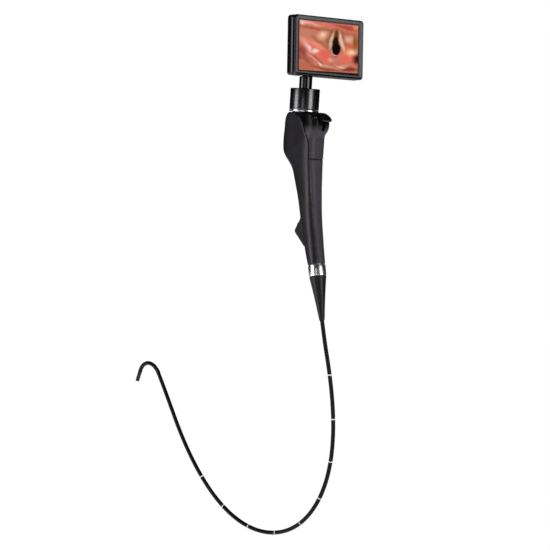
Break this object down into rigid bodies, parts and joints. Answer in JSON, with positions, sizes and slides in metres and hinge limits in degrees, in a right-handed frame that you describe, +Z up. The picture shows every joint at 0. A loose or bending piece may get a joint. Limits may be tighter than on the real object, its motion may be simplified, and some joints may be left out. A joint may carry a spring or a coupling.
{
  "type": "flexible endoscope",
  "caption": "Hand-held flexible video endoscope with a tilting monitor, thumb lever, channel port and a looped insertion tube with a bending tip.",
  "frame": {"origin": "centre of the handle's grip, on its middle plane, about midway between the head and the ferrule", "axes": "+Z up along the handle towards the monitor, -Y towards the user who looks at the screen, +X to the user's right"},
  "size_m": [0.1026, 0.3724, 0.5974],
  "materials": {
    "monitor_plastic": "satin black",
    "cover_glass": "clear gloss",
    "display": "lit display",
    "circuit_board": "solder mask",
    "dark_wrap": "plain",
    "steel": "turned",
    "chrome": "polished",
    "black_metal": "gloss black",
    "led": "clear",
    "rubber": "satin",
    "grip_plastic": "fine satin texture",
    "gloss_plastic": "high gloss",
    "cast_alloy": "cast",
    "brass": "turned",
    "tube_sheath": "semi-gloss",
    "tip_steel": "darkened"
  },
  "bodies": {
    "handle": {"trim_ring": "chrome", "swivel_collar": "black_metal", "friction_washer": "steel", "retaining_nut": "steel", "handle_left_cover": "grip_plastic", "handle_right_cover": "grip_plastic", "back_lower_cover": "grip_plastic", "back_upper_cover": "grip_plastic", "control_cap": "gloss_plastic", "button_switch": "circuit_board", "chassis_frame": "cast_alloy", "lever_shaft": "steel", "shaft_bush_left": "brass", "shaft_bush_right": "brass", "port_block": "grip_plastic", "port_inlet": "steel", "port_cap": "rubber", "cover_screw_1": "steel", "cover_screw_2": "steel", "cover_screw_3": "steel", "control_board": "circuit_board", "board_connector": "dark_wrap", "wire_guide_front": "steel", "wire_guide_back": "steel", "camera_cable": "dark_wrap", "ferrule_ring": "chrome", "boot": "rubber", "insertion_tube": "tube_sheath", "bending_base_ring": "steel"},
    "stem": {"stem": "black_metal"},
    "monitor": {"monitor_bezel": "monitor_plastic", "monitor_rear_housing": "monitor_plastic", "screen_glass": "cover_glass", "lcd_panel": "display", "monitor_board": "circuit_board", "battery": "dark_wrap", "tilt_pin": "steel", "status_led": "led"},
    "power_key": {"power_button": "rubber"},
    "lever": {"thumb_lever": "gloss_plastic", "wire_drum": "cast_alloy"},
    "record_key": {"record_button": "gloss_plastic"},
    "link_1": {"bending_link_1": "steel"},
    "link_2": {"bending_link_2": "steel"},
    "link_3": {"bending_link_3": "steel"},
    "link_4": {"bending_link_4": "steel"},
    "link_5": {"bending_link_5": "steel"},
    "tip": {"distal_sleeve": "steel", "tip_housing": "tip_steel", "camera_lens": "cover_glass", "camera_module": "dark_wrap", "light_left": "cover_glass", "light_right": "cover_glass"}
  },
  "joints": [
    {"name": "monitor_swivel", "type": "hinge", "parent": "handle", "child": "stem", "pos_m": [0, 0.0144, 0.0993], "axis": [0, -0.0698, 0.9976], "range_deg": [-135, 135]},
    {"name": "monitor_tilt", "type": "hinge", "parent": "stem", "child": "monitor", "pos_m": [0, 0.01093, 0.149], "axis": [1, 0, 0], "range_deg": [-95, 0]},
    {"name": "power_press", "type": "slide", "parent": "monitor", "child": "power_key", "axis": [0, -1, 0], "range_m": [0, 0.0005], "stiffness_N_per_m": 400, "springref_m": -0.0008},
    {"name": "thumb_lever_turn", "type": "hinge", "parent": "handle", "child": "lever", "pos_m": [0, 0.002, 0.085], "axis": [1, 0, 0], "range_deg": [0, 45]},
    {"name": "record_press", "type": "slide", "parent": "handle", "child": "record_key", "axis": [0, 0.9272, -0.3746], "range_m": [0, 0.0008], "stiffness_N_per_m": 400, "springref_m": -0.0008},
    {"name": "bend_1", "type": "hinge", "parent": "handle", "child": "link_1", "pos_m": [0.0063, 0.2916, -0.2053], "axis": [0.9917, 0, 0.1288], "range_deg": [0, 41]},
    {"name": "bend_2", "type": "hinge", "parent": "link_1", "child": "link_2", "pos_m": [0.00564, 0.29708, -0.20023], "axis": [0.9917, 0, 0.1288], "range_deg": [0, 41]},
    {"name": "bend_3", "type": "hinge", "parent": "link_2", "child": "link_3", "pos_m": [0.00526, 0.30399, -0.19732], "axis": [0.9917, 0, 0.1288], "range_deg": [0, 41]},
    {"name": "bend_4", "type": "hinge", "parent": "link_3", "child": "link_4", "pos_m": [0.00521, 0.31148, -0.19693], "axis": [0.9917, 0, 0.1288], "range_deg": [0, 41]},
    {"name": "bend_5", "type": "hinge", "parent": "link_4", "child": "link_5", "pos_m": [0.0055, 0.31865, -0.19911], "axis": [0.9917, 0, 0.1288], "range_deg": [0, 41]},
    {"name": "bend_6", "type": "hinge", "parent": "link_5", "child": "tip", "pos_m": [0.00608, 0.32464, -0.20358], "axis": [0.9917, 0, 0.1288], "range_deg": [0, 41]}
  ],
  "couplings": [
    {"joint": "bend_1", "follows": "thumb_lever_turn", "ratio": 0.88},
    {"joint": "bend_2", "follows": "thumb_lever_turn", "ratio": 0.88},
    {"joint": "bend_3", "follows": "thumb_lever_turn", "ratio": 0.88},
    {"joint": "bend_4", "follows": "thumb_lever_turn", "ratio": 0.88},
    {"joint": "bend_5", "follows": "thumb_lever_turn", "ratio": 0.88},
    {"joint": "bend_6", "follows": "thumb_lever_turn", "ratio": 0.88}
  ]
}
